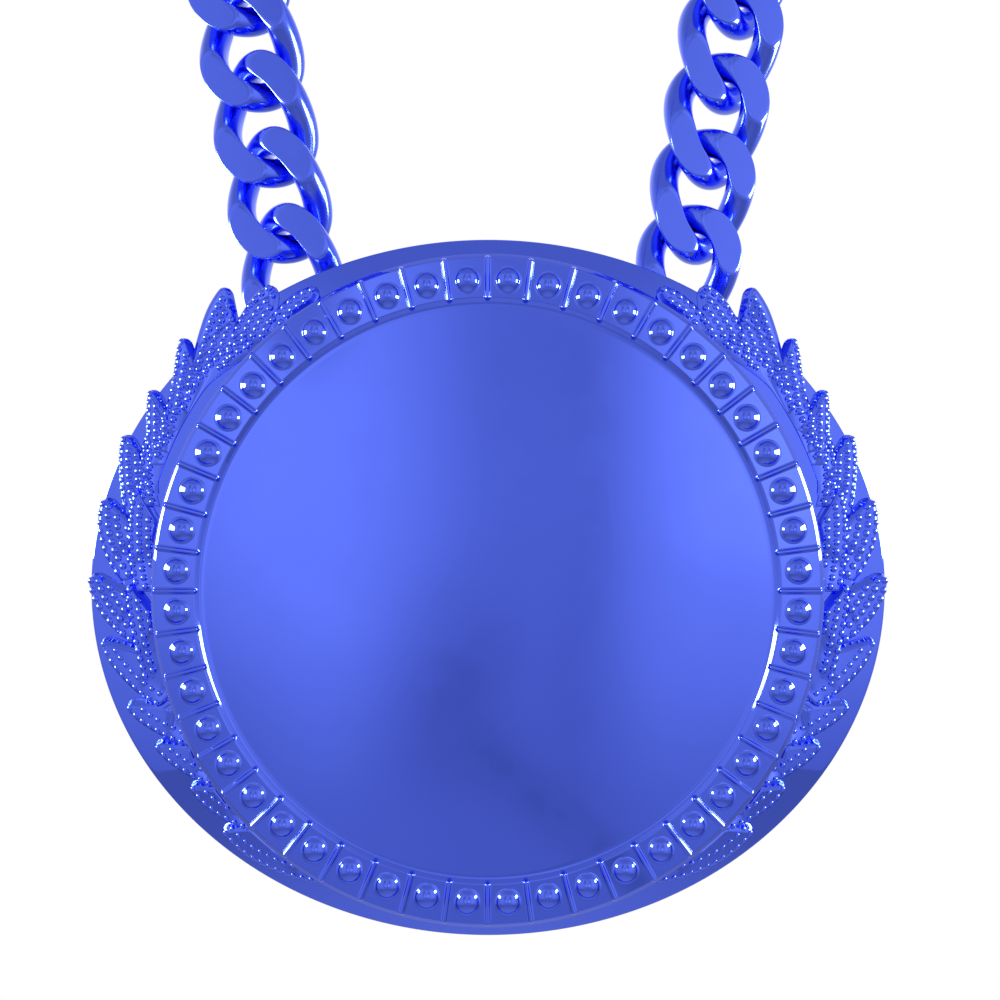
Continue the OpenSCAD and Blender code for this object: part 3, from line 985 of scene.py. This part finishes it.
# A dark slanting streak: the way across it, how low it crosses the middle, fade, ends
# and depth
STREAK_TURN, STREAK_RISE, STREAK_CROSS = 0.63, 0.777, 10.8
STREAK_FADE, STREAK_ENDS, STREAK_DEPTH = (0.9, 0.2), (-3, 0, 5, 8), 0.32
# A bowed fold right of the middle: its place, bend, fade, ends and depth
FOLD_TURN, FOLD_RISE, FOLD_BEND = 4.0, 0.5, 0.022
FOLD_FADE, FOLD_ENDS, FOLD_DEPTH = (1.0, 0.1), (-9.5, -6, 5, 9), 0.06
# A darker patch left of the middle: its upper edge's slant and height, depth, fades and
# ends
PATCH_SLANT, PATCH_EDGE, PATCH_DEPTH = 0.55, 5.0, 0.09
PATCH_FADE, PATCH_ENDS = (-4, -0.5, -0.5, 0.4), (-4.5, -2, 0, 1.6)
# Where the middle gives way to the room, aside and in height
MIDDLE_ASIDE, MIDDLE_HEIGHT = (30, 18), (32, 18)
# The light's colour: powers of its level for red and green
RED_POWER, GREEN_POWER = 1.2, 1.15


def room_light(n, turn, height):
    """The level of the room by the turn to the side and the height."""
    aside = n.size(turn)
    room = n.mixed(
        n.step(aside, *FRONT_TO_SIDES), n.levels(height, FRONT), n.levels(height, SIDES)
    )
    room = n.mixed(n.step(aside, *SIDES_TO_BEHIND), room, n.levels(height, BEHIND))
    more = n.times(n.between(turn, *RIGHT_TURN), n.between(height, *RIGHT_HEIGHT))
    room = n.scaled(more, RIGHT_MORE, room)
    deep = n.plus(n.step(height, *SHADE_BELOW), n.step(height, *SHADE_ABOVE))
    shade = n.times(n.between(aside, *SHADE_ASIDE), deep, n.step(height, *SHADE_TOP))
    return n.math("SUBTRACT", room, shade)


def middle_light(n, turn, rise):
    """The level of what stands in the middle, which the medal's flat faces mirror."""
    right = n.times(n.levels(turn, RIGHT), n.levels(rise, RIGHT_HIGH))
    left = n.times(n.levels(turn, LEFT), n.levels(rise, LEFT_HIGH))
    level = n.plus(n.levels(rise, BAND), n.plus(left, right))
    low = n.times(n.between(rise, *LOW_RISE), n.plus(n.levels(turn, LOW), -LOW_BASE))
    level = n.plus(level, low)

    over = n.plus(rise, -SPOT_RISE)
    over = n.math("MAXIMUM", n.times(over, -1.0), n.times(over, SPOT_SHRINK))
    away = n.math("SQRT", n.plus(n.square(n.plus(turn, -SPOT_TURN)), n.square(over)))
    level = n.scaled(n.step(away, *SPOT_FADE), -SPOT_DEPTH, level)

    away = n.scaled(rise, STREAK_RISE, STREAK_RISE * STREAK_CROSS)
    away = n.size(n.scaled(turn, STREAK_TURN, away))
    streak = n.times(n.step(away, *STREAK_FADE), n.between(turn, *STREAK_ENDS))
    level = n.times(level, n.scaled(streak, -STREAK_DEPTH, 1.0))

    away = n.scaled(n.square(n.plus(rise, -FOLD_RISE)), FOLD_BEND, turn)
    away = n.size(n.plus(away, -FOLD_TURN))
    fold = n.times(n.step(away, *FOLD_FADE), n.between(rise, *FOLD_ENDS))
    level = n.scaled(fold, -FOLD_DEPTH, level)

    above = n.scaled(turn, -PATCH_SLANT, n.plus(rise, PATCH_EDGE))
    patch = n.times(n.between(above, *PATCH_FADE), n.between(turn, *PATCH_ENDS))
    return n.scaled(patch, -PATCH_DEPTH, level)


scene = bpy.context.scene
world = bpy.data.worlds.new("studio")
scene.world = world
world.use_nodes = True
tree = world.node_tree
tree.nodes.clear()
n = Nodes(tree)
way = n.add("ShaderNodeSeparateXYZ", {0: n.add("ShaderNodeTexCoord", out="Generated")})
x, y, z = way.node.outputs
ahead = n.times(y, -1.0)
turn = n.math("DEGREES", n.math("ARCTAN2", x, ahead))
rise = n.math("DEGREES", n.math("ARCTAN2", z, ahead))
height = n.math("DEGREES", n.math("ARCSINE", z))
middle = n.times(
    n.step(n.size(turn), *MIDDLE_ASIDE), n.step(n.size(height), *MIDDLE_HEIGHT)
)
level = n.mixed(middle, room_light(n, turn, height), middle_light(n, turn, rise))
red = n.math("POWER", level, RED_POWER)
green = n.math("POWER", level, GREEN_POWER)
colour = n.add("ShaderNodeCombineColor", {0: red, 1: green, 2: level})
# The camera itself sees a white backdrop
straight = n.add("ShaderNodeLightPath", out="Is Camera Ray")
seen = n.mixed_colour(straight, colour, (1, 1, 1, 1))
back = n.add("ShaderNodeBackground", {"Color": seen})
out = tree.nodes.new("ShaderNodeOutputWorld")
tree.links.new(back, out.inputs["Surface"])

# A window on each side: its distance, its lower front and upper back corner, in depth
# from the bezel's face and in height from the medal's centre, and its strength
WINDOW_X, WINDOW_LOW, WINDOW_HIGH, WINDOW_STRENGTH = 116, (-44, 5), (40, 40), 22


def window(name, side):
    """An upright window of light beside the medal, that faces the medal."""
    low, high = np.array(WINDOW_LOW), np.array(WINDOW_HIGH)
    middle = np.array([side * WINDOW_X, *(low + high) / 2])
    data = bpy.data.lights.new(name, "AREA")
    data.shape = "RECTANGLE"
    data.size, data.size_y = (high - low) * MM
    data.energy = WINDOW_STRENGTH * math.pi * data.size * data.size_y
    lamp = bpy.data.objects.new(name, data)
    lamp.location = (middle + np.array([0, -BACK_GAP - BEZEL_TOP, MEDAL_Z])) * MM
    lamp.rotation_euler = Vector((-side, 0, 0)).to_track_quat("-Z", "Y").to_euler()
    lamp.visible_camera = False
    scene.collection.objects.link(lamp)


window("window_right", 1)
window("window_left", -1)


# Camera

# Its place: to the right, in front of the chain's middle and above the medal's centre
CAMERA_X, CAMERA_OUT, CAMERA_UP = 1.12, 135.4, 8.19

camera = bpy.data.objects.new("camera", bpy.data.cameras.new("camera"))
camera.data.lens = 50
camera.data.sensor_width = 36
camera.data.clip_start = 0.005
camera.location = (CAMERA_X * MM, -CAMERA_OUT * MM, (MEDAL_Z + CAMERA_UP) * MM)
camera.rotation_euler = (math.pi / 2, 0, 0)
scene.collection.objects.link(camera)
scene.camera = camera
scene.view_settings.view_transform = "Standard"
